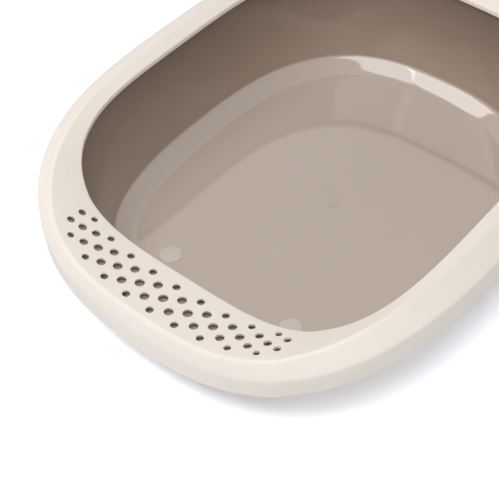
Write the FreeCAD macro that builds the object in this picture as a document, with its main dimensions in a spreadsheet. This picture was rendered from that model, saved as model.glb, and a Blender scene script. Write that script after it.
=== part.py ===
import FreeCAD, Part
import math
import os
import Sketcher
from FreeCAD import Vector

doc = FreeCAD.newDocument("litter_box")

# Sizes in millimetres unless the name says a count, a share, a power or a squareness
SIZES = (
    # Inner lip of the rim, the edge of the opening
    ("lip_half_width", 180.2),
    ("lip_front_reach", 212.0),
    ("lip_back_reach", 226.0),
    ("lip_squareness", 4.52),
    ("lip_front_height", 73.1),
    ("lip_side_height", 121.1),
    # Crease where the deck of the rim turns down to the bevel
    ("crease_half_width", 193.3),
    ("crease_front_reach", 272.2),
    ("crease_back_reach", 239.0),
    ("crease_squareness", 3.19),
    ("crease_front_height", 76.4),
    ("crease_side_height", 128.0),
    # Fold where the sloping bevel of the rim turns down to its upright skirt
    ("fold_half_width", 215.8),
    ("fold_front_reach", 277.7),
    ("fold_back_reach", 261.5),
    ("fold_squareness", 3.08),
    ("fold_front_height", 61.6),
    ("fold_side_height", 115.1),
    # Hem, the lower edge of the skirt
    ("hem_half_width", 219.4),
    ("hem_front_reach", 278.8),
    ("hem_back_reach", 265.1),
    ("hem_squareness", 2.87),
    ("hem_front_height", 40.9),
    ("hem_side_height", 91.5),
    ("back_squareness", 3.19),
    # Sweep of the rim down to the front, its walls, bead and corner blends
    ("dip_power", 1.445),
    ("rim_wall", 2.5),
    ("fold_wall_drop", 1.5),
    ("bead_wall", 2.0),
    ("bead_depth", 4.5),
    ("crease_blend", 3.0),
    ("fold_blend", 2.0),
    ("lip_blend", 0.9),
    # Holes of the front deck
    ("hole_pitch", 27.4),
    ("hole_crowding", 0.003),
    ("hole_bow", 0.0622),
    ("hole_middle_width", 9.4),
    ("hole_row_shrink", 0.2),
    ("hole_end_shrink", 0.22),
    ("hole_first_share", 0.237),
    ("hole_row_share", 0.143),
    ("hole_row_count", 5),
    ("hole_odd_row_count", 9),
    ("hole_even_row_count", 10),
    ("hole_side_count", 16),
    # Tray
    ("tray_wall", 2.5),
    ("tray_floor_wall", 3.0),
    ("tray_ground_gap", 4.0),
    ("flange_width", 2.6),
    ("flange_wall", 2.5),
    ("rim_seat_gap", 0.3),
    ("rim_bead_gap", 0.4),
    ("tray_front_reach", 262.0),
    ("tray_front_half_width", 181.0),
    ("tray_front_squareness", 3.3),
    ("tray_joining_power", 60),
    ("ledge_half_width", 168.5),
    ("ledge_front_reach", 234.0),
    ("ledge_back_reach", 214.0),
    ("ledge_front_step", 13.0),
    ("ledge_height", 19.0),
    ("floor_half_width", 149.5),
    ("floor_front_reach", 221.0),
    ("floor_back_reach", 197.0),
    ("floor_corner_power", 10),
    ("floor_squareness", 2.6),
    ("ledge_blend", 4.0),
    ("floor_blend", 5.0),
    # Feet and their seats, gate mark of the floor
    ("foot_radius", 9.5),
    ("foot_chamfer", 1.0),
    ("foot_seat_depth", 1.5),
    ("foot_seat_gap", 0.3),
    ("foot_half_spacing", 72.3),
    ("foot_front_reach", 156.7),
    ("foot_back_reach", 138.0),
    ("foot_front_margin", 43.0),
    ("seat_mark_radius", 11.0),
    ("seat_mark_rise", 0.6),
    ("gate_mark_radius", 12.0),
    ("gate_mark_rise", 0.4),
    ("gate_mark_setback", 3.0),
)
sheet = doc.addObject("Spreadsheet::Sheet", "Sizes")
for row, (alias, value) in enumerate(SIZES, 1):
    sheet.set("A%d" % row, alias)
    sheet.set("B%d" % row, str(value))
    sheet.setAlias("B%d" % row, alias)
doc.recompute()


def size(alias):
    return float(sheet.get(alias))


# The box is centred lengthways, so its widest line lies a little behind the middle
WIDEST_Y = (size("hem_front_reach") - size("hem_back_reach")) / 2
RING_POINTS = 48
RING_PARTS = 12
BLEND_STEPS = 2


# Plan outlines: rounded rectangles whose corners follow a power curve
def radius_at(angle, half_width, front_reach, back_reach, front_squareness, back_squareness):
    in_front = math.sin(angle) < 0
    reach = front_reach if in_front else back_reach
    power = front_squareness if in_front else back_squareness
    across = (abs(math.cos(angle)) / half_width) ** power
    along = (abs(math.sin(angle)) / reach) ** power
    return (across + along) ** (-1 / power)


def rim_radius(edge, angle, outset=0.0):
    return radius_at(
        angle,
        size(edge + "_half_width") + outset,
        size(edge + "_front_reach") + outset,
        size(edge + "_back_reach") + outset,
        size(edge + "_squareness"),
        size("back_squareness"),
    )


# Height of an edge that sweeps down to the front
def swept_height(edge, angle):
    low = size(edge + "_front_height")
    high = size(edge + "_side_height")
    if math.sin(angle) >= 0:
        return high
    share = rim_radius(edge, angle) * abs(math.cos(angle)) / size(edge + "_half_width")
    power = size(edge + "_squareness") * size("dip_power") / 2
    return low + (high - low) * share ** power


# Height of the deck's upper face on a line from the middle of the opening
def deck_height(angle, radius):
    inner = rim_radius("lip", angle)
    outer = rim_radius("crease", angle)
    share = (radius - inner) / (outer - inner)
    low = swept_height("lip", angle)
    return low + share * (swept_height("crease", angle) - low)


def place(angle, radius, height):
    return Vector(radius * math.cos(angle), WIDEST_Y + radius * math.sin(angle), height)


# Blends a corner of a profile between points set back along both its sides
def blended(before, corner, after, setback):
    points = []
    first = corner + (before - corner).normalize() * setback
    last = corner + (after - corner).normalize() * setback
    for step in range(BLEND_STEPS + 1):
        share = step / BLEND_STEPS
        into = first * (1 - share) + corner * share
        out_of = corner * (1 - share) + last * share
        points.append(into * (1 - share) + out_of * share)
    return points


# Points of a profile with its corners blended; an open profile gives only its inner points
def profile_points(corners, closed):
    count = len(corners)
    chosen = range(count) if closed else range(1, count - 1)
    points = []
    for index in chosen:
        corner, setback = corners[index]
        if setback > 0:
            before = corners[index - 1][0]
            after = corners[(index + 1) % count][0]
            points += blended(before, corner, after, setback)
        else:
            points.append(corner)
    return points


# A solid of straight strips between closed smooth rings, one ring for each profile point
def ring_solid(corners_at, closed):
    profiles = []
    for step in range(RING_POINTS):
        profiles.append(profile_points(corners_at(2 * math.pi * step / RING_POINTS), closed))
    rings = []
    for points in zip(*profiles):
        curve = Part.BSplineCurve()
        knots = [float(step) for step in range(RING_POINTS + 1)]
        stretch = RING_POINTS // RING_PARTS
        curve.interpolate(Points=list(points), PeriodicFlag=True, Parameters=knots)
        rings.append([curve.toShape(start, start + stretch) for start in knots[:-1:stretch]])
    pairs = list(zip(rings, rings[1:]))
    if closed:
        pairs.append((rings[-1], rings[0]))
    faces = []
    for first, second in pairs:
        for one, other in zip(first, second):
            faces.append(Part.makeRuledSurface(one, other))
    if not closed:
        faces.append(Part.Face(Part.Wire(rings[0])))
        faces.append(Part.Face(Part.Wire(rings[-1])))
    skin = Part.makeCompound(faces)
    skin.sewShape()
    solid = Part.makeSolid(skin.Shells[0])
    if solid.Volume < 0:
        solid.reverse()
    return solid


# Rim: lip, deck, bevel, skirt with hem, and a bead that hangs inside the tray's wall
def rim_corners(angle):
    wall = size("rim_wall")
    lip = rim_radius("lip", angle)
    lip_height = swept_height("lip", angle)
    bead = rim_radius("lip", angle, size("bead_wall"))
    bead_height = lip_height - size("bead_depth")
    crease = rim_radius("crease", angle)
    crease_inside = rim_radius("crease", angle, -wall)
    fold = rim_radius("fold", angle)
    fold_inside = rim_radius("fold", angle, -wall)
    fold_height = swept_height("fold", angle)
    hem = rim_radius("hem", angle)
    hem_inside = rim_radius("hem", angle, -wall)
    hem_height = swept_height("hem", angle)
    return (
        (place(angle, lip, lip_height), size("lip_blend")),
        (place(angle, crease, swept_height("crease", angle)), size("crease_blend")),
        (place(angle, fold, fold_height), size("fold_blend")),
        (place(angle, hem, hem_height), 0),
        (place(angle, hem_inside, hem_height), 0),
        (place(angle, fold_inside, fold_height - size("fold_wall_drop")), 0),
        (place(angle, crease_inside, deck_height(angle, crease_inside) - wall), 0),
        (place(angle, bead, deck_height(angle, bead) - wall), 0),
        (place(angle, bead, bead_height), 0),
        (place(angle, lip, bead_height), 0),
    )


rim_shape = ring_solid(rim_corners, True)


# Distance of an outline in front of the widest line at a given place across
def front_distance(edge, across):
    power = size(edge + "_squareness")
    share = 1 - (abs(across) / size(edge + "_half_width")) ** power
    return size(edge + "_front_reach") * share ** (1 / power)


# A hole as an upright prism with as much area as the round hole, to keep its facets few
def hole_tool(radius, foot, height):
    count = int(size("hole_side_count"))
    turn = 2 * math.pi / count
    corner_radius = radius * math.sqrt(turn / math.sin(turn))
    corners = []
    for step in range(count + 1):
        across = corner_radius * math.cos(turn * step)
        along = corner_radius * math.sin(turn * step)
        corners.append(foot + Vector(across, along, 0))
    return Part.Face(Part.makePolygon(corners)).extrude(Vector(0, 0, height))


# Staggered rows of upright holes in the front deck, smaller towards the ends
hole_tools = []
row_count = int(size("hole_row_count"))
middle_row = (row_count - 1) / 2
for row in range(row_count):
    column_count = int(size("hole_odd_row_count" if row % 2 == 0 else "hole_even_row_count"))
    middle_column = (column_count - 1) / 2
    end_column = size("hole_odd_row_count") / 2
    for column in range(column_count):
        steps = column - middle_column
        across = steps * size("hole_pitch") * (1 - size("hole_crowding") * steps ** 2)
        share = size("hole_first_share") + row * size("hole_row_share")
        share -= size("hole_bow") * (steps / end_column) ** 2
        near = front_distance("lip", across)
        far = front_distance("crease", across)
        ahead = near + share * (far - near)
        row_part = 1 - size("hole_row_shrink") * ((row - middle_row) / middle_row) ** 2
        end_part = 1 - size("hole_end_shrink") * (steps / end_column) ** 2
        hole_radius = size("hole_middle_width") / 2 * row_part * end_part
        height = deck_height(math.atan2(-ahead, across), math.hypot(across, ahead))
        foot_of_hole = Vector(across, WIDEST_Y - ahead, height - 2 * size("rim_wall"))
        hole_tools.append(hole_tool(hole_radius, foot_of_hole, 4 * size("rim_wall")))
rim_shape = rim_shape.cut(Part.makeCompound(hole_tools))
rim_shape = rim_shape.Solids[0]
rim = doc.addObject("Part::Feature", "rim_frame")
rim.Label = "rim_frame"
rim.Shape = rim_shape
rim.Placement = FreeCAD.Placement()


# Tray: its top edge follows the underside of the deck, a sloping ledge leads to the floor
BEAD_ROOM = size("bead_wall") + size("rim_bead_gap")
FLOOR_BOTTOM = size("tray_ground_gap")
FLOOR_TOP = FLOOR_BOTTOM + size("tray_floor_wall")
# The floor runs a margin past the front feet, and the ledge a step further
FRONT_LINE = {"floor": size("foot_front_reach") + size("foot_front_margin")}
FRONT_LINE["ledge"] = FRONT_LINE["floor"] + size("ledge_front_step")


# The top edge goes round the bead of the rim and reaches forward under the front deck
def tray_top_radius(angle, outset):
    round_bead = rim_radius("lip", angle, BEAD_ROOM)
    under_deck = radius_at(
        angle,
        size("tray_front_half_width"),
        size("tray_front_reach"),
        size("lip_back_reach"),
        size("tray_front_squareness"),
        size("back_squareness"),
    )
    power = size("tray_joining_power")
    return (round_bead ** power + under_deck ** power) ** (1 / power) + outset


def tray_top_point(angle, outset, drop):
    radius = tray_top_radius(angle, outset)
    height = deck_height(angle, radius) - size("rim_wall") - size("rim_seat_gap") - drop
    return place(angle, radius, height)


def low_point(angle, edge, outset, height):
    radius = radius_at(
        angle,
        size(edge + "_half_width") + outset,
        size(edge + "_front_reach") + outset,
        size(edge + "_back_reach") + outset,
        size("floor_squareness"),
        size("floor_squareness"),
    )
    if math.sin(angle) < 0:
        front_line = (FRONT_LINE[edge] + outset) / abs(math.sin(angle))
        power = size("floor_corner_power")
        radius = (radius ** -power + front_line ** -power) ** (-1 / power)
    return place(angle, radius, height)


def tray_corners(angle):
    wall = size("tray_wall")
    flange = wall + size("flange_width")
    ledge_under = size("ledge_height") - wall / 2
    return (
        (place(angle, 0, FLOOR_BOTTOM), 0),
        (low_point(angle, "floor", wall / 2, FLOOR_BOTTOM), 0),
        (low_point(angle, "ledge", wall, ledge_under), 0),
        (tray_top_point(angle, wall, size("flange_wall")), 0),
        (tray_top_point(angle, flange, size("flange_wall")), 0),
        (tray_top_point(angle, flange, 0), 0),
        (tray_top_point(angle, 0, 0), 0),
        (low_point(angle, "ledge", 0, size("ledge_height")), size("ledge_blend")),
        (low_point(angle, "floor", 0, FLOOR_TOP), size("floor_blend")),
        (place(angle, 0, FLOOR_TOP), 0),
    )


tray_shape = ring_solid(tray_corners, False)

# Raised round marks over the front feet and at the gate on the floor, seats cut from below
FOOT_PLACES = (
    ("foot_front_left", -1, -size("foot_front_reach")),
    ("foot_front_right", 1, -size("foot_front_reach")),
    ("foot_back_left", -1, size("foot_back_reach")),
    ("foot_back_right", 1, size("foot_back_reach")),
)
marks = []
seats = []
mark_depth = size("tray_floor_wall") / 2
for name, side, ahead in FOOT_PLACES:
    across = side * size("foot_half_spacing")
    if ahead < 0:
        mark_foot = Vector(across, WIDEST_Y + ahead, FLOOR_TOP - mark_depth)
        rise = mark_depth + size("seat_mark_rise")
        marks.append(Part.makeCylinder(size("seat_mark_radius"), rise, mark_foot))
    seat_radius = size("foot_radius") + size("foot_seat_gap")
    seat_depth = FLOOR_BOTTOM + size("foot_seat_depth")
    seats.append(Part.makeCylinder(seat_radius, seat_depth, Vector(across, WIDEST_Y + ahead, 0)))
gate_foot = Vector(0, WIDEST_Y - size("gate_mark_setback"), FLOOR_TOP - mark_depth)
gate_rise = mark_depth + size("gate_mark_rise")
marks.append(Part.makeCylinder(size("gate_mark_radius"), gate_rise, gate_foot))
tray_shape = tray_shape.fuse(marks)
tray_shape = tray_shape.cut(Part.makeCompound(seats))
tray_shape = tray_shape.Solids[0]
tray = doc.addObject("Part::Feature", "tray")
tray.Label = "tray"
tray.Shape = tray_shape
tray.Placement = FreeCAD.Placement()


# Foot: a turned rubber pad with a chamfered lower edge
def origin_plane(body, role):
    for feature in body.Origin.OriginFeatures:
        if feature.Role == role:
            return feature


def add_foot(name, across, along):
    body = doc.addObject("PartDesign::Body", name)
    body.Label = name
    sketch = body.newObject("Sketcher::SketchObject", name + "_profile")
    sketch.AttachmentSupport = (origin_plane(body, "XZ_Plane"), "")
    sketch.MapMode = "FlatFace"
    height = FLOOR_BOTTOM + size("foot_seat_depth")
    corners = [
        Vector(0, 0, 0),
        Vector(size("foot_radius"), 0, 0),
        Vector(size("foot_radius"), height, 0),
        Vector(0, height, 0),
    ]
    for start, end in zip(corners, corners[1:] + corners[:1]):
        sketch.addGeometry(Part.LineSegment(start, end), False)
    for line in range(4):
        sketch.addConstraint(Sketcher.Constraint("Coincident", line, 2, (line + 1) % 4, 1))
    sketch.addConstraint(Sketcher.Constraint("Coincident", 0, 1, -1, 1))
    sketch.addConstraint(Sketcher.Constraint("Horizontal", 0))
    sketch.addConstraint(Sketcher.Constraint("Vertical", 1))
    sketch.addConstraint(Sketcher.Constraint("Horizontal", 2))
    sketch.addConstraint(Sketcher.Constraint("Vertical", 3))
    reach = sketch.addConstraint(Sketcher.Constraint("DistanceX", 0, 1, 0, 2, size("foot_radius")))
    sketch.setExpression("Constraints[%d]" % reach, "Sizes.foot_radius")
    tall = sketch.addConstraint(Sketcher.Constraint("DistanceY", 1, 1, 1, 2, height))
    sketch.setExpression("Constraints[%d]" % tall, "Sizes.tray_ground_gap + Sizes.foot_seat_depth")
    doc.recompute()
    turn = body.newObject("PartDesign::Revolution", name + "_turn")
    turn.Profile = sketch
    turn.ReferenceAxis = (sketch, ["V_Axis"])
    turn.Angle = 360
    doc.recompute()
    chamfer = body.newObject("PartDesign::Chamfer", name + "_chamfer")
    lower = []
    for index, edge in enumerate(turn.Shape.Edges, 1):
        box = edge.BoundBox
        if box.ZMax < 0.01 and box.XLength > size("foot_radius"):
            lower.append("Edge%d" % index)
    chamfer.Base = (turn, lower)
    chamfer.setExpression("Size", "Sizes.foot_chamfer")
    doc.recompute()
    body.Placement = FreeCAD.Placement(Vector(across, along, 0), FreeCAD.Rotation())
    return body


feet = []
for name, side, ahead in FOOT_PLACES:
    feet.append(add_foot(name, side * size("foot_half_spacing"), WIDEST_Y + ahead))
doc.recompute()

# Every piece is checked, then written to its own file
os.makedirs("parts", exist_ok=True)
for item in doc.Objects:
    if "Invalid" in item.State or "Error" in item.State:
        raise RuntimeError("%s did not build" % item.Name)
for piece in [tray, rim] + feet:
    if piece.Shape.isNull() or not piece.Shape.isValid() or piece.Shape.Volume <= 0:
        raise RuntimeError("%s has no sound solid" % piece.Label)
    piece.Shape.exportStep("parts/%s.step" % piece.Label)
    box = piece.Shape.BoundBox
    print(piece.Label, len(piece.Shape.Solids), round(piece.Shape.Volume), "%.1f %.1f %.1f" % (
        box.XLength, box.YLength, box.ZLength), "z %.1f to %.1f" % (box.ZMin, box.ZMax))
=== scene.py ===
import math

import bmesh
import bpy
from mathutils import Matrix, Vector


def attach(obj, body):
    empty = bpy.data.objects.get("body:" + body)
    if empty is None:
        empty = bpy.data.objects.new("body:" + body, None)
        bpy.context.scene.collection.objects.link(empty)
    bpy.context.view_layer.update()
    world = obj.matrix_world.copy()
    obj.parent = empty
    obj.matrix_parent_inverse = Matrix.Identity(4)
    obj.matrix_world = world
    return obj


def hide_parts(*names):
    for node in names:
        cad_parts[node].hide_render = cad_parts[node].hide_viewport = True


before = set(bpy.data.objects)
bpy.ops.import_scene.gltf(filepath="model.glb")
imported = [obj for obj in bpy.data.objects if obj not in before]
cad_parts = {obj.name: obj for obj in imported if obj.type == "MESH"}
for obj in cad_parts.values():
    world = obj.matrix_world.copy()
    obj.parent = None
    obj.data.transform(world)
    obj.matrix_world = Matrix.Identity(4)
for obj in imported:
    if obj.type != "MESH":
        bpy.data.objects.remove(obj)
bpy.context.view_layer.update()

# Outlines, heights and gaps of the litter box in millimetres, the same as in the part's source
MM = 0.001
LIP = dict(half_width=180.2, front=212.0, back=226.0, power=4.52, low=73.1, high=121.1)
CREASE = dict(half_width=193.3, front=272.2, back=239.0, power=3.19, low=76.4, high=128.0)
FOLD = dict(half_width=215.8, front=277.7, back=261.5, power=3.08, low=61.6, high=115.1)
HEM = dict(half_width=219.4, front=278.8, back=265.1, power=2.87, low=40.9, high=91.5)
TRAY_FRONT = dict(half_width=181.0, front=262.0, back=226.0, power=3.3)
LEDGE = dict(half_width=168.5, front=234.0, back=214.0, power=2.6, line=212.7)
FLOOR = dict(half_width=149.5, front=221.0, back=197.0, power=2.6, line=199.7)
WIDEST_Y = (HEM["front"] - HEM["back"]) / 2
BACK_POWER = 3.19
DIP_POWER = 1.445
TRAY_JOINING_POWER = 60
FRONT_LINE_POWER = 10
DECK_WALL = 2.5
BEAD_DEPTH = 4.5
BEAD_ROOM = 2.4
SEAT_GAP = 0.3
TRAY_WALL = 2.5
FLANGE_WIDTH = 2.6
LEDGE_TOP = 19.0
FLOOR_TOP = 7.0
FLOOR_UNDER = 4.0

# Holes of the front deck: widths and pitch in millimetres, rows as shares of the deck's width
HOLE_ROWS = 5
ODD_ROW_HOLES = 9
EVEN_ROW_HOLES = 10
ROW_REACH = (EVEN_ROW_HOLES - 1) / 2
HOLE_PITCH = 27.4
HOLE_CROWDING = 0.003
HOLE_BOW = 0.0622
HOLE_WIDTH = 9.4
HOLE_ROW_SHRINK = 0.2
HOLE_END_SHRINK = 0.22
HOLE_FIRST = 0.237
HOLE_ROW = 0.143

# Round marks of the floor in millimetres
FOOT_ACROSS = 72.3
FOOT_AHEAD = 156.7
FOOT_MARK_RADIUS = 11.0
FOOT_MARK_RISE = 0.6
GATE_SETBACK = 3.0
GATE_MARK_RADIUS = 12.0
GATE_MARK_RISE = 0.4
MARK_ROOT = 0.5

# Their sides, and their rounding as a share of the rise
MARK_SIDES = 48
MARK_ROUNDING = 0.8
MARK_ROUNDING_STEPS = 4


# Plan outlines and heights of the edges round the box
def outline_radius(angle, edge, outset=0.0, back_power=BACK_POWER):
    in_front = math.sin(angle) < 0
    reach = edge["front"] if in_front else edge["back"]
    power = edge["power"] if in_front else back_power
    across = (abs(math.cos(angle)) / (edge["half_width"] + outset)) ** power
    along = (abs(math.sin(angle)) / (reach + outset)) ** power
    return (across + along) ** (-1 / power)


def edge_height(angle, edge):
    if math.sin(angle) >= 0:
        return edge["high"]
    share = outline_radius(angle, edge) * abs(math.cos(angle)) / edge["half_width"]
    rise = share ** (edge["power"] * DIP_POWER / 2)
    return edge["low"] + (edge["high"] - edge["low"]) * rise


def deck_height(angle, radius):
    inner = outline_radius(angle, LIP)
    outer = outline_radius(angle, CREASE)
    share = (radius - inner) / (outer - inner)
    low = edge_height(angle, LIP)
    return low + share * (edge_height(angle, CREASE) - low)


def deck_height_at(across, along):
    ahead = along - WIDEST_Y
    return deck_height(math.atan2(ahead, across), math.hypot(across, ahead))


def front_distance(edge, across):
    share = 1 - (abs(across) / edge["half_width"]) ** edge["power"]
    return edge["front"] * share ** (1 / edge["power"])


def place(angle, radius, height):
    return Vector((radius * math.cos(angle), WIDEST_Y + radius * math.sin(angle), height))


def edge_point(angle, edge):
    return place(angle, outline_radius(angle, edge), edge_height(angle, edge))


# Plain corners of a profile on the straight line between two others
def between(first, last, shares):
    return [(first.lerp(last, share), 0) for share in shares]


# A profile whose corners are rounded between points set back along their sides
def rounded_profile(corners):
    points = []
    for index, (corner, setback) in enumerate(corners):
        if setback == 0:
            points.append(corner)
            continue
        first = corner + (corners[index - 1][0] - corner).normalized() * setback
        last = corner + (corners[index + 1][0] - corner).normalized() * setback
        points += [first, (first + last + 2 * corner) / 4, last]
    return points


# A ring of straight sections, spun round the upright axis, one section point a row
def spun_ring(row_count, column_count):
    ring = bmesh.new()
    section = [ring.verts.new((1 + row, 0, 0)) for row in range(row_count)]
    edges = [ring.edges.new(pair) for pair in zip(section, section[1:])]
    bmesh.ops.spin(
        ring,
        geom=section + edges,
        cent=(0, 0, 0),
        axis=(0, 0, 1),
        angle=2 * math.pi,
        steps=column_count,
        use_merge=True,
    )
    grid = {}
    for vert in ring.verts:
        row = round(math.hypot(vert.co.x, vert.co.y)) - 1
        turn = math.atan2(vert.co.y, vert.co.x) / (2 * math.pi)
        grid[row, round(turn * column_count) % column_count] = vert
    return ring, grid


# A finished mesh in millimetres as a piece that rides on a body
def add_piece(name, mesh_work, body, material):
    bmesh.ops.scale(mesh_work, vec=(MM, MM, MM), verts=mesh_work.verts)
    bmesh.ops.recalc_face_normals(mesh_work, faces=mesh_work.faces)
    for face in mesh_work.faces:
        face.smooth = True
    mesh = bpy.data.meshes.new(name)
    mesh_work.to_mesh(mesh)
    mesh_work.free()
    piece = bpy.data.objects.new(name, mesh)
    bpy.context.scene.collection.objects.link(piece)
    mesh.materials.append(material)
    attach(piece, body)
    return piece


# Modifiers that finish a piece
ROUND_OFF_DEGREES = 40
ROUND_OFF_STEPS = 2
SUBDIVISION = 1


def subdivide(piece):
    smooth = piece.modifiers.new("smooth_surface", "SUBSURF")
    smooth.levels = SUBDIVISION
    smooth.render_levels = SUBDIVISION


def thicken(piece, thickness, even):
    wall = piece.modifiers.new("wall", "SOLIDIFY")
    wall.thickness = thickness * MM
    wall.offset = -1
    wall.use_even_offset = even


def round_off(piece, width):
    bevel = piece.modifiers.new("rounded_edges", "BEVEL")
    bevel.width = width * MM
    bevel.segments = ROUND_OFF_STEPS
    bevel.limit_method = "ANGLE"
    bevel.angle_limit = math.radians(ROUND_OFF_DEGREES)
    bevel.harden_normals = True


# Node helpers
def new_material(name):
    material = bpy.data.materials.new(name)
    material.use_nodes = True
    tree = material.node_tree
    shader = tree.nodes["Principled BSDF"]
    where = tree.nodes.new("ShaderNodeTexCoord").outputs["Object"]
    return material, tree, shader, where


def add_node(tree, kind, **values):
    node = tree.nodes.new(kind)
    for name, value in values.items():
        if hasattr(node, name):
            setattr(node, name, value)
        else:
            node.inputs[name.replace("_", " ")].default_value = value
    return node


def noise(tree, place_socket, **values):
    node = add_node(tree, "ShaderNodeTexNoise", **values)
    tree.links.new(place_socket, node.inputs["Vector"])
    return node.outputs["Fac"]


def ramp(tree, value_socket, **values):
    node = add_node(tree, "ShaderNodeMapRange", **values)
    tree.links.new(value_socket, node.inputs["Value"])
    return node.outputs["Result"]


def calculate(tree, operation, first_socket, second):
    node = add_node(tree, "ShaderNodeMath", operation=operation)
    tree.links.new(first_socket, node.inputs[0])
    set_or_link(tree, node.inputs[1], second)
    return node.outputs[0]


def mix_colours(tree, factor_socket, first, second):
    node = add_node(tree, "ShaderNodeMix", data_type="RGBA")
    tree.links.new(factor_socket, node.inputs["Factor"])
    set_or_link(tree, node.inputs["A"], first)
    set_or_link(tree, node.inputs["B"], second)
    return node.outputs["Result"]


def set_or_link(tree, inlet, value):
    if isinstance(value, bpy.types.NodeSocket):
        tree.links.new(value, inlet)
    else:
        inlet.default_value = value


def raise_bumps(tree, shader, height_socket, **values):
    bump = add_node(tree, "ShaderNodeBump", **values)
    tree.links.new(height_socket, bump.inputs["Height"])
    tree.links.new(bump.outputs["Normal"], shader.inputs["Normal"])


# Screen values from 0 to 255 as linear light, by the standard curve
def colour(red, green, blue):
    parts = []
    for value in (red, green, blue):
        share = value / 255
        parts.append(share / 12.92 if share < 0.04045 else ((share + 0.055) / 1.055) ** 2.4)
    return (*parts, 1.0)


# Specks: sparse small dots scattered in the plastic
def specks_group():
    group = bpy.data.node_groups.new("plastic_specks", "ShaderNodeTree")
    group.interface.new_socket("Place", in_out="INPUT", socket_type="NodeSocketVector")
    for name in ("Cells", "Size", "Rarity"):
        group.interface.new_socket(name, in_out="INPUT", socket_type="NodeSocketFloat")
    group.interface.new_socket("Mask", in_out="OUTPUT", socket_type="NodeSocketFloat")
    inlet = group.nodes.new("NodeGroupInput").outputs
    outlet = group.nodes.new("NodeGroupOutput").inputs
    cells = add_node(group, "ShaderNodeTexVoronoi", feature="F1")
    group.links.new(inlet["Place"], cells.inputs["Vector"])
    group.links.new(inlet["Cells"], cells.inputs["Scale"])
    near = calculate(group, "LESS_THAN", cells.outputs["Distance"], inlet["Size"])
    parts = group.nodes.new("ShaderNodeSeparateColor")
    group.links.new(cells.outputs["Color"], parts.inputs["Color"])
    chosen = calculate(group, "GREATER_THAN", parts.outputs["Red"], inlet["Rarity"])
    group.links.new(calculate(group, "MULTIPLY", near, chosen), outlet["Mask"])
    return group


# Cream plastic of the rim: satin, faintly mottled, with fine specks
CREAM_TONES = (colour(236, 225, 214), colour(240, 231, 222))
CREAM_SPECKS = (
    dict(Cells=260.0, Size=0.10, Rarity=0.80, tone=colour(150, 120, 95), strength=0.45),
    dict(Cells=140.0, Size=0.06, Rarity=0.78, tone=colour(120, 100, 85), strength=0.45),
)


def cream_plastic(specks):
    material, tree, shader, where = new_material("cream_plastic_finish")
    cloud = noise(tree, where, Scale=24.0, Detail=3.0)
    tone = mix_colours(tree, cloud, *CREAM_TONES)
    for values in CREAM_SPECKS:
        dots = tree.nodes.new("ShaderNodeGroup")
        dots.node_tree = specks
        for name in ("Cells", "Size", "Rarity"):
            dots.inputs[name].default_value = values[name]
        tree.links.new(where, dots.inputs["Place"])
        faint = calculate(tree, "MULTIPLY", dots.outputs["Mask"], values["strength"])
        tone = mix_colours(tree, faint, tone, values["tone"])
    tree.links.new(tone, shader.inputs["Base Color"])
    sheen = ramp(tree, cloud, To_Min=0.40, To_Max=0.52)
    tree.links.new(sheen, shader.inputs["Roughness"])
    grain = noise(tree, where, Scale=900.0, Detail=2.0)
    raise_bumps(tree, shader, grain, Strength=0.12, Distance=0.0002)
    shader.inputs["Specular IOR Level"].default_value = 0.5
    return material


# Heights in metres where the tray's tone changes above the ledge and darkens up the wall: painted
# shade, the wall coloured darker than the floor and darker still towards its top
WALL_SHADE_BEGINS = dict(From_Min=0.0185, From_Max=0.0215)
WALL_SHADE_DEEPENS = dict(From_Min=0.03, From_Max=0.11)

# Taupe plastic of the tray: glossy, with faint flow streaks from the moulding, and painted shade
# on its walls by height
STREAK_SCALE = (14.0, 3.0, 3.0)
TAUPE_IOR = 1.62


def taupe_plastic(name, dark, light, wall, top, smooth, dull):
    material, tree, shader, where = new_material(name)
    stretch = add_node(tree, "ShaderNodeMapping")
    stretch.inputs["Scale"].default_value = STREAK_SCALE
    tree.links.new(where, stretch.inputs["Vector"])
    streaks = noise(tree, stretch.outputs["Vector"], Scale=1.0, Detail=4.0, Roughness=0.55)
    tone = mix_colours(tree, streaks, dark, light)
    parts = tree.nodes.new("ShaderNodeSeparateXYZ")
    tree.links.new(where, parts.inputs[0])
    height = parts.outputs["Z"]
    # Painted shade: above the ledge the colour turns to the darker wall tone, then darkens further
    # towards the top tone with height
    wall_shade_share = ramp(tree, height, interpolation_type="SMOOTHSTEP", **WALL_SHADE_BEGINS)
    tone = mix_colours(tree, wall_shade_share, tone, wall)
    tone = mix_colours(tree, ramp(tree, height, **WALL_SHADE_DEEPENS), tone, top)
    tree.links.new(tone, shader.inputs["Base Color"])
    haze = noise(tree, where, Scale=18.0, Detail=3.0)
    gloss = ramp(tree, haze, To_Min=smooth, To_Max=dull)
    tree.links.new(gloss, shader.inputs["Roughness"])
    ripple = noise(tree, where, Scale=30.0, Detail=1.0)
    raise_bumps(tree, shader, ripple, Strength=0.08, Distance=0.0006)
    shader.inputs["IOR"].default_value = TAUPE_IOR
    return material


# Rubber of the feet: dark, dull and dusty
RUBBER_TONES = (colour(52, 49, 46), colour(78, 74, 70))
RUBBER_ROUGHNESS = 0.75


def foot_rubber():
    material, tree, shader, where = new_material("foot_rubber_finish")
    dust = noise(tree, where, Scale=160.0, Detail=4.0)
    tree.links.new(mix_colours(tree, dust, *RUBBER_TONES), shader.inputs["Base Color"])
    raise_bumps(tree, shader, dust, Strength=0.3, Distance=0.0003)
    shader.inputs["Roughness"].default_value = RUBBER_ROUGHNESS
    return material


# Columns of the rim: a lattice across the front that the holes sit on, then the sides and back
COLUMNS_PER_STEP = 6
LATTICE_HALF = 30
SIDE_COLUMNS = 58
FADE_RATE = 8

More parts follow.
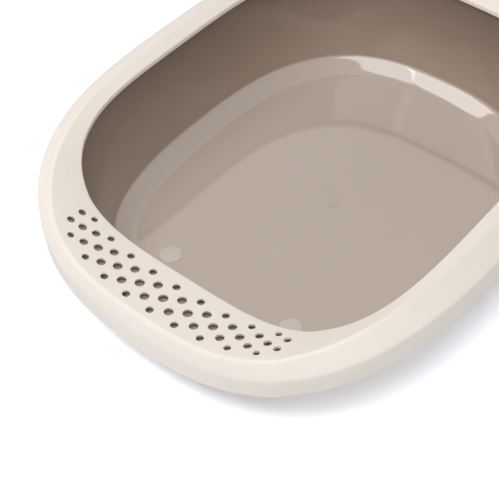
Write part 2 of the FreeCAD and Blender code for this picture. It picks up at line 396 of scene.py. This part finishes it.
# Rows of its deck: lines before the first row of holes, between the rows and after the last
LINES_BEFORE = 3
LINES_PER_ROW = 3
LINES_BETWEEN = LINES_PER_ROW * (HOLE_ROWS - 1)
LINES_AFTER = 2
DECK_LINE_COUNT = LINES_BEFORE + LINES_BETWEEN + 1 + LINES_AFTER
DECK_FIRST_ROW = 5

# Where those lines begin and end beside the holes, as shares of the deck
PLAIN_FIRST = 0.18
PLAIN_LAST = 0.88

# Wall, margins and roundings of the rim in millimetres
RIM_WALL = 2.0
LIP_MARGIN = 1.6
CREASE_MARGIN = 3.8
LIP_ROUNDING = 0.9
CREASE_ROUNDING = 3.0
FOLD_ROUNDING = 2.2
RIM_EDGE_ROUNDING = 0.35

# Lines that only divide a straight side of a profile, as shares of its length
MIDWAY = (0.5,)
BEVEL_LINES = (0.3, 0.7)

# Eight corners round a hole's middle, and the share of its radius their ring keeps when subdivided
HOLE_RING = [
    (ahead, side) for ahead in (-1, 0, 1) for side in (-1, 0, 1) if ahead or side
]
RING_KEEPS = 0.925

# How the corners between the holes are eased, and the columns at each end that stay
EASING_TURNS = 6
EASING_SHARE = 0.5
LATTICE_MARGIN = 2


def lattice_across(steps):
    return steps * HOLE_PITCH * (1 - HOLE_CROWDING * steps ** 2)


# Places of the deck's lines from lip to crease; fade 1 is among the holes, 0 beside them
def deck_shares(width, steps, fade):
    lowest = LIP_MARGIN / width
    highest = 1 - CREASE_MARGIN / width
    bow = HOLE_BOW * (steps / ROW_REACH) ** 2
    plain_first = lowest + PLAIN_FIRST * (highest - lowest)
    plain_last = lowest + PLAIN_LAST * (highest - lowest)
    first = fade * (HOLE_FIRST - bow) + (1 - fade) * plain_first
    last_row = HOLE_FIRST + (HOLE_ROWS - 1) * HOLE_ROW - bow
    last = fade * last_row + (1 - fade) * plain_last
    shares = [lowest + (first - lowest) * line / LINES_BEFORE for line in range(LINES_BEFORE)]
    for line in range(LINES_BETWEEN + 1):
        shares.append(first + (last - first) * line / LINES_BETWEEN)
    for line in range(1, LINES_AFTER + 1):
        shares.append(last + (highest - last) * line / LINES_AFTER)
    return shares


def rim_columns():
    columns = []
    for index in range(-LATTICE_HALF, LATTICE_HALF + 1):
        steps = index / COLUMNS_PER_STEP
        across = lattice_across(steps)
        lip_angle = math.atan2(-front_distance(LIP, across), across)
        crease_angle = math.atan2(-front_distance(CREASE, across), across)
        columns.append((lip_angle, crease_angle, steps, 1.0))
    lip_start, crease_start, end_steps = columns[-1][:3]
    for index in range(1, SIDE_COLUMNS):
        share = index / SIDE_COLUMNS
        lip_angle = lip_start + share * (math.pi - 2 * lip_start)
        crease_angle = crease_start + share * (math.pi - 2 * crease_start)
        fade = max(0.0, 1 - FADE_RATE * min(share, 1 - share))
        columns.append((lip_angle, crease_angle, end_steps, fade))
    return columns


def rim_profile(lip_angle, crease_angle, steps, fade):
    lip = edge_point(lip_angle, LIP)
    bead = lip - Vector((0, 0, BEAD_DEPTH))
    crease = edge_point(crease_angle, CREASE)
    fold = edge_point(crease_angle, FOLD)
    hem = edge_point(crease_angle, HEM)
    return rounded_profile(
        [
            (bead, 0),
            *between(bead, lip, MIDWAY),
            (lip, LIP_ROUNDING),
            *between(lip, crease, deck_shares((crease - lip).length, steps, fade)),
            (crease, CREASE_ROUNDING),
            *between(crease, fold, BEVEL_LINES),
            (fold, FOLD_ROUNDING),
            *between(fold, hem, MIDWAY),
            (hem, 0),
        ]
    )


def deck_holes():
    middle = (HOLE_ROWS - 1) / 2
    for row in range(HOLE_ROWS):
        count = ODD_ROW_HOLES if row % 2 == 0 else EVEN_ROW_HOLES
        for column in range(count):
            steps = column - (count - 1) / 2
            row_part = 1 - HOLE_ROW_SHRINK * ((row - middle) / middle) ** 2
            end_part = 1 - HOLE_END_SHRINK * (steps / ROW_REACH) ** 2
            yield row, steps, HOLE_WIDTH / 2 * row_part * end_part


# Opens each hole: its middle corner goes, and the eight round it move onto a circle
def open_holes(ring, grid):
    held = set()
    centres = []
    for hole_row, steps, radius in deck_holes():
        column = LATTICE_HALF + round(COLUMNS_PER_STEP * steps)
        row = DECK_FIRST_ROW + LINES_BEFORE + LINES_PER_ROW * hole_row
        centre = grid[row, column]
        centres.append(centre)
        for ahead, side in HOLE_RING:
            vert = grid[row + ahead, column + side]
            arm = Vector((side, -ahead, 0)).normalized() * radius / RING_KEEPS
            vert.co.x = centre.co.x + arm.x
            vert.co.y = centre.co.y + arm.y
            held.add(vert)
    bmesh.ops.delete(ring, geom=centres, context="VERTS")
    return held


# Eases the corners between the holes, then lays every corner of the deck on its surface
def settle_deck(ring, grid, held, column_count):
    deck_rows = range(DECK_FIRST_ROW, DECK_FIRST_ROW + DECK_LINE_COUNT)
    loose = []
    for column in range(LATTICE_MARGIN, 2 * LATTICE_HALF + 1 - LATTICE_MARGIN):
        for row in deck_rows[1:-1]:
            vert = grid[row, column]
            if vert.is_valid and vert not in held:
                loose.append(vert)
    for _ in range(EASING_TURNS):
        bmesh.ops.smooth_vert(
            ring, verts=loose, factor=EASING_SHARE, use_axis_x=True, use_axis_y=True
        )
    for row in deck_rows:
        for column in range(column_count):
            vert = grid[row, column]
            if vert.is_valid:
                vert.co.z = deck_height_at(vert.co.x, vert.co.y)


# Rim: dipped at the front, with staggered rows of holes in its front deck
def build_rim(material):
    columns = rim_columns()
    row_count = len(rim_profile(*columns[0]))
    ring, grid = spun_ring(row_count, len(columns))
    for column, values in enumerate(columns):
        for row, point in enumerate(rim_profile(*values)):
            grid[row, column].co = point
    held = open_holes(ring, grid)
    settle_deck(ring, grid, held, len(columns))
    piece = add_piece("rim_shell", ring, "rim", material)
    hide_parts("rim_frame")
    subdivide(piece)
    thicken(piece, RIM_WALL, even=True)
    round_off(piece, RIM_EDGE_ROUNDING)


# Roundings of the tray in millimetres
FLOOR_ROUNDING = 2.5
LEDGE_ROUNDING = 2.0
TOP_ROUNDING = 0.7
FLANGE_ROUNDING = 0.6
NECK_ROUNDING = 0.8
OUTER_LEDGE_ROUNDING = 2.5
OUTER_FLOOR_ROUNDING = 2.0
SAME_PLACE = 0.001

# Columns of the tray, and lines that only divide its profile
TRAY_COLUMNS = 112
FLOOR_LINES = (0.3, 0.6, 0.88)
WALL_LINES = (0.12, 0.4, 0.7, 0.93)
OUTER_WALL_LINES = (0.3, 0.7)
UNDER_LINES = (0.7, 0.3)


def tray_top_point(angle, outset, drop):
    power = TRAY_JOINING_POWER
    round_bead = outline_radius(angle, LIP, BEAD_ROOM)
    under_deck = outline_radius(angle, TRAY_FRONT)
    radius = (round_bead ** power + under_deck ** power) ** (1 / power) + outset
    return place(angle, radius, deck_height(angle, radius) - DECK_WALL - SEAT_GAP - drop)


def low_point(angle, edge, outset, height):
    radius = outline_radius(angle, edge, outset, edge["power"])
    if math.sin(angle) < 0:
        power = -FRONT_LINE_POWER
        front_line = (edge["line"] + outset) / abs(math.sin(angle))
        radius = (radius ** power + front_line ** power) ** (1 / power)
    return place(angle, radius, height)


def tray_profile(angle):
    floor_middle = place(angle, 0, FLOOR_TOP)
    floor = low_point(angle, FLOOR, 0, FLOOR_TOP)
    ledge = low_point(angle, LEDGE, 0, LEDGE_TOP)
    top = tray_top_point(angle, 0, 0)
    flange = tray_top_point(angle, TRAY_WALL + FLANGE_WIDTH, 0)
    flange_under = tray_top_point(angle, TRAY_WALL + FLANGE_WIDTH, TRAY_WALL)
    neck = tray_top_point(angle, TRAY_WALL, TRAY_WALL)
    ledge_outside = low_point(angle, LEDGE, TRAY_WALL, LEDGE_TOP - TRAY_WALL / 2)
    floor_outside = low_point(angle, FLOOR, TRAY_WALL / 2, FLOOR_UNDER)
    under_middle = place(angle, 0, FLOOR_UNDER)
    return rounded_profile(
        [
            (floor_middle, 0),
            *between(floor_middle, floor, FLOOR_LINES),
            (floor, FLOOR_ROUNDING),
            *between(floor, ledge, MIDWAY),
            (ledge, LEDGE_ROUNDING),
            *between(ledge, top, WALL_LINES),
            (top, TOP_ROUNDING),
            (flange, FLANGE_ROUNDING),
            (flange_under, FLANGE_ROUNDING),
            (neck, NECK_ROUNDING),
            *between(neck, ledge_outside, OUTER_WALL_LINES),
            (ledge_outside, OUTER_LEDGE_ROUNDING),
            (floor_outside, OUTER_FLOOR_ROUNDING),
            *between(under_middle, floor_outside, UNDER_LINES),
            (under_middle, 0),
        ]
    )


# Tray: floor, sloping ledge, walls and the flange under the rim
def build_tray(material):
    row_count = len(tray_profile(0.0))
    ring, grid = spun_ring(row_count, TRAY_COLUMNS)
    for column in range(TRAY_COLUMNS):
        for row, point in enumerate(tray_profile(2 * math.pi * column / TRAY_COLUMNS)):
            grid[row, column].co = point
    bmesh.ops.remove_doubles(ring, verts=ring.verts, dist=SAME_PLACE)
    piece = add_piece("tray_shell", ring, "tray", material)
    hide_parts("tray")
    subdivide(piece)


# Lengths of the tray's front shelf in millimetres
SHELF_DROP = 6.4
SHELF_INSET = 0.8
SHELF_WALL = 1.5
SHELF_EDGE_ROUNDING = 0.3

# Its grid, its ends in steps of the holes, and how far it tapers there
SHELF_COLUMNS = 80
SHELF_ROWS = 8
SHELF_END = 5.7
SHELF_STRAIGHT = 4.9
SHELF_TAPER = 0.9


def shelf_edges(angle):
    top = tray_top_point(angle, 0, 0)
    foot = low_point(angle, LEDGE, 0, LEDGE_TOP)
    share = (SHELF_DROP - DECK_WALL - SEAT_GAP) / (top.z - foot.z)
    outward = Vector((math.cos(angle), math.sin(angle), 0))
    radius = outline_radius(angle, LIP, SHELF_INSET)
    inner = place(angle, radius, deck_height(angle, radius) - SHELF_DROP)
    return inner, top.lerp(foot, share) + outward * TRAY_WALL / 2


# Shelf of the tray close under the holes, which catches the light that falls through them
def build_front_shelf(material):
    sheet = bmesh.new()
    bmesh.ops.create_grid(sheet, x_segments=SHELF_COLUMNS, y_segments=SHELF_ROWS, size=1.0)
    for vert in sheet.verts:
        steps = vert.co.x * SHELF_END
        across = lattice_across(steps)
        inner, outer = shelf_edges(math.atan2(-front_distance(LIP, across), across))
        taper = max(0.0, (abs(steps) - SHELF_STRAIGHT) / (SHELF_END - SHELF_STRAIGHT))
        share = (1 - vert.co.y) / 2
        vert.co = inner.lerp(outer, share + (1 - share) * SHELF_TAPER * taper ** 2)
    piece = add_piece("tray_front_shelf", sheet, "tray", material)
    thicken(piece, SHELF_WALL, even=False)
    round_off(piece, SHELF_EDGE_ROUNDING)


# Round marks on the floor: two over the front feet and one where the plastic came in
def build_floor_marks(name, material, places):
    marks = bmesh.new()
    for across, along, radius, rise in places:
        disc = bmesh.ops.create_circle(marks, cap_ends=True, radius=radius, segments=MARK_SIDES)
        root = (across, along, FLOOR_TOP - MARK_ROOT)
        bmesh.ops.translate(marks, vec=root, verts=disc["verts"])
        face = disc["verts"][0].link_faces[0]
        raised = bmesh.ops.extrude_face_region(marks, geom=[face])
        top = [item for item in raised["geom"] if isinstance(item, bmesh.types.BMVert)]
        bmesh.ops.translate(marks, vec=(0, 0, rise + MARK_ROOT), verts=top)
        rim_edges = {
            edge for vert in top for edge in vert.link_edges if edge.other_vert(vert) in top
        }
        bmesh.ops.bevel(
            marks,
            geom=list(rim_edges),
            offset=rise * MARK_ROUNDING,
            offset_type="OFFSET",
            segments=MARK_ROUNDING_STEPS,
            profile=0.5,
            affect="EDGES",
            material=-1,
        )
    add_piece(name, marks, "tray", material)


# Floor of the studio: paper that the camera sees brighter, so that it is white round the shadow
STUDIO_FLOOR_HALF = 6.0
PAPER = (0.90, 0.94, 0.98, 1)
SEEN_PAPER = (0.78, 0.83, 0.89, 1)
WHITE_FROM = 0.45
WHITE_AT = 0.9


def add_shaders(tree, first, second):
    both = tree.nodes.new("ShaderNodeAddShader")
    tree.links.new(first, both.inputs[0])
    tree.links.new(second, both.inputs[1])
    return both.outputs[0]


def mix_shaders(tree, factor, first, second):
    mixed = tree.nodes.new("ShaderNodeMixShader")
    for index, socket in enumerate((factor, first, second)):
        tree.links.new(socket, mixed.inputs[index])
    return mixed.outputs[0]


def paper_material():
    material = bpy.data.materials.new("studio_floor_paper")
    material.use_nodes = True
    tree = material.node_tree
    tree.nodes.clear()
    path = tree.nodes.new("ShaderNodeLightPath")
    paper = add_node(tree, "ShaderNodeBsdfDiffuse", Color=PAPER).outputs[0]
    seen = add_node(tree, "ShaderNodeBsdfDiffuse", Color=SEEN_PAPER).outputs[0]
    three_times = add_shaders(tree, add_shaders(tree, seen, seen), seen)
    where = tree.nodes.new("ShaderNodeTexCoord")
    length = add_node(tree, "ShaderNodeVectorMath", operation="LENGTH")
    tree.links.new(where.outputs["Object"], length.inputs[0])
    far = ramp(
        tree,
        length.outputs["Value"],
        interpolation_type="SMOOTHSTEP",
        From_Min=WHITE_FROM,
        From_Max=WHITE_AT,
    )
    white = tree.nodes.new("ShaderNodeEmission").outputs[0]
    backdrop = mix_shaders(tree, far, three_times, white)
    surface = mix_shaders(tree, path.outputs["Is Camera Ray"], paper, backdrop)
    outlet = tree.nodes.new("ShaderNodeOutputMaterial")
    tree.links.new(surface, outlet.inputs["Surface"])
    return material


def studio_floor():
    plane = bmesh.new()
    bmesh.ops.create_grid(plane, x_segments=1, y_segments=1, size=STUDIO_FLOOR_HALF)
    mesh = bpy.data.meshes.new("studio_floor")
    plane.to_mesh(mesh)
    plane.free()
    floor = bpy.data.objects.new("studio_floor", mesh)
    bpy.context.scene.collection.objects.link(floor)
    mesh.materials.append(paper_material())


# Light: a white sky, brighter low down for all but camera and glossy rays, and two soft boxes
SKY_SEEN = 1.0
SKY_LIGHT = dict(From_Min=0.3, From_Max=0.0, To_Min=0.28, To_Max=1.9)
AIM = Vector((0, 0, 0.05))
SOFT_BOXES = dict(
    top_soft_box=dict(towards=(0.08, -0.38, 0.92), distance=2.2, size=(1.6, 1.2), watts=24.8),
    left_soft_box=dict(towards=(-0.43, -0.285, 0.85), distance=2.0, size=(0.85, 0.605), watts=8.2),
)


def add_lamp(name, towards, distance, size, watts):
    lamp = bpy.data.lights.new(name, "AREA")
    lamp.shape = "RECTANGLE"
    lamp.size, lamp.size_y = size
    lamp.energy = watts
    holder = bpy.data.objects.new(name, lamp)
    arm = Vector(towards).normalized()
    holder.location = AIM + arm * distance
    holder.rotation_euler = arm.to_track_quat("Z", "Y").to_euler()
    bpy.context.scene.collection.objects.link(holder)


def studio_light():
    world = bpy.data.worlds.new("studio_white")
    bpy.context.scene.world = world
    world.use_nodes = True
    tree = world.node_tree
    sky = tree.nodes["Background"]
    sky.inputs["Color"].default_value = (1, 1, 1, 1)
    path = tree.nodes.new("ShaderNodeLightPath").outputs
    seen = calculate(tree, "MAXIMUM", path["Is Camera Ray"], path["Is Glossy Ray"])
    where = tree.nodes.new("ShaderNodeTexCoord")
    parts = tree.nodes.new("ShaderNodeSeparateXYZ")
    tree.links.new(where.outputs["Generated"], parts.inputs[0])
    low = ramp(tree, parts.outputs["Z"], interpolation_type="SMOOTHSTEP", **SKY_LIGHT)
    level = add_node(tree, "ShaderNodeMapRange", To_Max=SKY_SEEN)
    tree.links.new(low, level.inputs["To Min"])
    tree.links.new(seen, level.inputs["Value"])
    tree.links.new(level.outputs["Result"], sky.inputs["Strength"])
    for name, values in SOFT_BOXES.items():
        add_lamp(name, **values)


# Camera of the photo: place in metres, sensor in millimetres, angles in degrees
SENSOR_WIDTH = 36.0
PHOTO_FOCAL_PIXELS = 1200.0
PHOTO_WIDTH_PIXELS = 499.0
CAMERA_PLACE = (0.47257, -0.70648, 0.85326)
CAMERA_DOWN = 47.28
CAMERA_TURN = 38.84
CAMERA_NEAREST = 0.01


def studio_camera():
    lens = bpy.data.cameras.new("photo_camera")
    lens.sensor_width = SENSOR_WIDTH
    lens.lens = PHOTO_FOCAL_PIXELS / PHOTO_WIDTH_PIXELS * SENSOR_WIDTH
    lens.clip_start = CAMERA_NEAREST
    camera = bpy.data.objects.new("photo_camera", lens)
    camera.location = CAMERA_PLACE
    camera.rotation_euler = (math.radians(90 - CAMERA_DOWN), 0, math.radians(CAMERA_TURN))
    bpy.context.scene.collection.objects.link(camera)
    bpy.context.scene.camera = camera


# Materials, pieces and studio
bpy.context.scene.view_settings.view_transform = "Standard"
cream = cream_plastic(specks_group())
# Painted shade of the tray's walls: a darker tone above the ledge and a darker one still towards
# the top
wall_shade_tone = colour(173, 154, 139)
top_shade_tone = colour(120, 103, 92)
shelf_tone = colour(184, 168, 154)
taupe = taupe_plastic(
    "taupe_plastic_finish",
    dark=colour(188, 172, 159),
    light=colour(194, 179, 167),
    wall=wall_shade_tone,
    top=top_shade_tone,
    smooth=0.03,
    dull=0.07,
)
mark = taupe_plastic(
    "floor_mark_finish",
    dark=colour(203, 191, 179),
    light=colour(208, 197, 186),
    wall=wall_shade_tone,
    top=top_shade_tone,
    smooth=0.3,
    dull=0.4,
)
shelf = taupe_plastic(
    "front_shelf_finish",
    dark=shelf_tone,
    light=shelf_tone,
    wall=shelf_tone,
    top=shelf_tone,
    smooth=0.2,
    dull=0.3,
)
rubber = foot_rubber()
build_rim(cream)
build_tray(taupe)
build_front_shelf(shelf)
build_floor_marks(
    "foot_marks",
    mark,
    [
        (side * FOOT_ACROSS, WIDEST_Y - FOOT_AHEAD, FOOT_MARK_RADIUS, FOOT_MARK_RISE)
        for side in (-1, 1)
    ],
)
build_floor_marks(
    "gate_mark", taupe, [(0.0, WIDEST_Y - GATE_SETBACK, GATE_MARK_RADIUS, GATE_MARK_RISE)]
)
for foot in ("foot_front_left", "foot_front_right", "foot_back_left", "foot_back_right"):
    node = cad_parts[foot]
    node.material_slots[0].material = rubber
studio_floor()
studio_light()
studio_camera()
